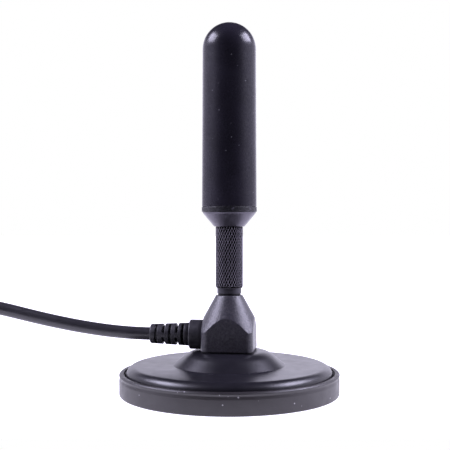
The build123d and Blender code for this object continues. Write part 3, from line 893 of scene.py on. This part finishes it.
def nut_mesh():
    seg = 180
    outer = [(3.55, 15.5), (3.68, 15.58), (3.7, 15.75), (3.7, 17.2), (3.7, 17.2)]
    prof = []
    for r, s in outer:
        prof.append((r, s, 0))
    for s in (17.22, 17.32, 17.45, 17.65, 18.0, 19.0, 20.4, 21.8, 23.2, 23.7, 23.92, 24.05, 24.15, 24.2):
        prof.append((4.62, s, 1))
    bore = [(4.05, 24.2), (3.2, 24.2), (3.05, 24.1)]
    s = 23.9
    while s > 19.4:  # inside thread
        bore += [(2.93, s), (3.07, s - 0.17), (3.07, s - 0.22), (2.93, s - 0.39), (2.93, s - 0.44)]
        s -= 0.706
    bore += [(3.0, 19.0), (3.0, 16.8), (2.46, 16.8), (2.46, 15.6), (2.55, 15.5)]
    for r, s in bore:
        prof.append((r, s, 0))
    cols = []
    for k in range(seg):
        phi = 2 * math.pi * k / seg
        flat = 4.0 / max(abs(math.cos(phi + j * math.pi / 3)) for j in range(3))
        col = []
        for r, s, hexed in prof:
            rr = r
            if hexed:
                # chamfered corners at both ends
                end = min(s - 17.2, 24.2 - s)
                rr = min(flat, 4.02 + end * 1.5 if end < 0.4 else 4.62, 4.55)
            col.append(TO_PLUG @ (Vector((rr * math.cos(phi), rr * math.sin(phi), s)) * MM))
        cols.append(col)
    rows = len(prof)
    verts = [v for col in cols for v in col]
    faces = [[k * rows + i, ((k + 1) % seg) * rows + i, ((k + 1) % seg) * rows + (i + 1) % rows, k * rows + (i + 1) % rows]
             for k in range(seg) for i in range(rows)]
    obj = mesh_obj("connector_nut_visual", verts, faces, smooth=False)
    bm = bmesh.new()
    bm.from_mesh(obj.data)
    for f in bm.faces:
        f.smooth = True
    for e in bm.edges:
        if len(e.link_faces) == 2 and e.calc_face_angle(0) > math.radians(28):
            e.smooth = False
    bm.to_mesh(obj.data)
    bm.free()
    return weighted(obj)


nut = nut_mesh()
for o, m, node, s in ((ferrule, M_GOLD, "connector_ferrule", "gold_plate"), (body, M_GOLD, "connector_body", "gold_plate"),
                      (insul, M_PTFE, "connector_insulator", "ptfe"), (pin, M_GOLD, "connector_pin", "gold_plate"),
                      (seal, M_SEAL, "connector_gasket", "rubber_black")):
    paint(o, m)
    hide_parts(node)
    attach(o, "base")
paint(nut, M_GOLD)
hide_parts("connector_nut")
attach(nut, "coupling_nut")

# =============================================================================================
# studio: white floor and surround, two large soft boxes, open front
# =============================================================================================
floor_mesh = bpy.data.meshes.new("floor")
S, NEAR = 6.0, -0.068
turn = Matrix.Rotation(CAM_TURN, 4, "Z")
floor_mesh.from_pydata([tuple(turn @ Vector(p)) for p in ((-S, NEAR, 0), (S, NEAR, 0), (S, S, 0), (-S, S, 0))], [], [[0, 1, 2, 3]])
floor = link(bpy.data.objects.new("floor", floor_mesh))
floor.location.z = -0.00002
fm = bpy.data.materials.new("floor_white")
fm.use_nodes = True
fb = fm.node_tree.nodes["Principled BSDF"]
fb.inputs["Base Color"].default_value = (0.25, 0.25, 0.25, 1)
fb.inputs["Roughness"].default_value = 0.8
fb.inputs["Specular IOR Level"].default_value = 0.1
fb.inputs["Emission Color"].default_value = (0.86, 0.83, 1.0, 1)
fb.inputs["Emission Strength"].default_value = 1.8
floor.data.materials.append(fm)


def area(name, loc, target, size, size_y, power, color=(1, 1, 1)):
    d = bpy.data.lights.new(name, "AREA")
    d.shape = "RECTANGLE"
    d.size, d.size_y = size, size_y
    d.energy = power
    d.color = color
    o = link(bpy.data.objects.new(name, d))
    o.location = loc
    o.rotation_euler = (Vector(target) - Vector(loc)).to_track_quat("-Z", "Y").to_euler()
    return o


def at(x, y, z):
    return turn @ Vector((x, y, z))


area("softbox_left", at(-0.56, 0.02, 0.545), at(0, 0, 0.11), 0.46, 0.30, 7.6, (0.80, 0.77, 1.0))
area("softbox_right", at(0.56, 0.02, 0.545), at(0, 0, 0.11), 0.46, 0.30, 8.0, (0.80, 0.77, 1.0))

world = bpy.data.worlds.new("studio")
bpy.context.scene.world = world
world.use_nodes = True
wn = world.node_tree
for n in list(wn.nodes):
    wn.nodes.remove(n)
out = wn.nodes.new("ShaderNodeOutputWorld")
lp = wn.nodes.new("ShaderNodeLightPath")
white = wn.nodes.new("ShaderNodeBackground")
white.inputs["Color"].default_value = (1, 1, 1, 1)
white.inputs["Strength"].default_value = 1.0
env = wn.nodes.new("ShaderNodeBackground")
tc = wn.nodes.new("ShaderNodeTexCoord")
rot = wn.nodes.new("ShaderNodeVectorRotate")
rot.rotation_type = "Z_AXIS"
rot.inputs["Angle"].default_value = -CAM_TURN
wn.links.new(tc.outputs["Generated"], rot.inputs["Vector"])
sep = wn.nodes.new("ShaderNodeSeparateXYZ")
wn.links.new(rot.outputs["Vector"], sep.inputs["Vector"])


def wmap(value, a, b, c, d):
    m = wn.nodes.new("ShaderNodeMapRange")
    m.interpolation_type = "SMOOTHSTEP"
    for nme, v in (("From Min", a), ("From Max", b), ("To Min", c), ("To Max", d)):
        m.inputs[nme].default_value = v
    wn.links.new(value, m.inputs["Value"])
    return m.outputs["Result"]


def wmath(kind, a, b):
    m = wn.nodes.new("ShaderNodeMath")
    m.operation = kind
    wn.links.new(a, m.inputs[0])
    wn.links.new(b, m.inputs[1])
    return m.outputs[0]


# a white tent, open towards the front, brighter a little above the horizon and on the right
side = wmap(sep.outputs["Y"], -0.85, -0.15, 0.0, 1.0)
rise = wmap(sep.outputs["Z"], -0.02, 0.18, 0.5, 1.15)
low = wmap(sep.outputs["Z"], 0.28, 0.52, 1.0, 0.0)
right = wmap(sep.outputs["X"], -0.25, 0.25, 0.95, 1.2)
far = wmap(sep.outputs["Y"], 0.75, 0.97, 1.0, 1.75)
total = wmath("MULTIPLY", wmath("MULTIPLY", wmath("MULTIPLY", side, rise), wmath("MULTIPLY", low, right)), far)
lvl = wn.nodes.new("ShaderNodeMapRange")
lvl.inputs["From Max"].default_value = 3.0
lvl.inputs["To Min"].default_value = 0.035
lvl.inputs["To Max"].default_value = 3.0
wn.links.new(total, lvl.inputs["Value"])
wn.links.new(lvl.outputs["Result"], env.inputs["Strength"])
env.inputs["Color"].default_value = (0.85, 0.82, 1.0, 1)
mix = wn.nodes.new("ShaderNodeMixShader")
wn.links.new(lp.outputs["Is Camera Ray"], mix.inputs["Fac"])
wn.links.new(env.outputs[0], mix.inputs[1])
wn.links.new(white.outputs[0], mix.inputs[2])
wn.links.new(mix.outputs[0], out.inputs["Surface"])

bpy.context.scene.view_settings.view_transform = "Standard"
bpy.context.scene.view_settings.look = "None"
bpy.context.scene.view_settings.exposure = 0.0
bpy.context.scene.view_settings.gamma = 1.0
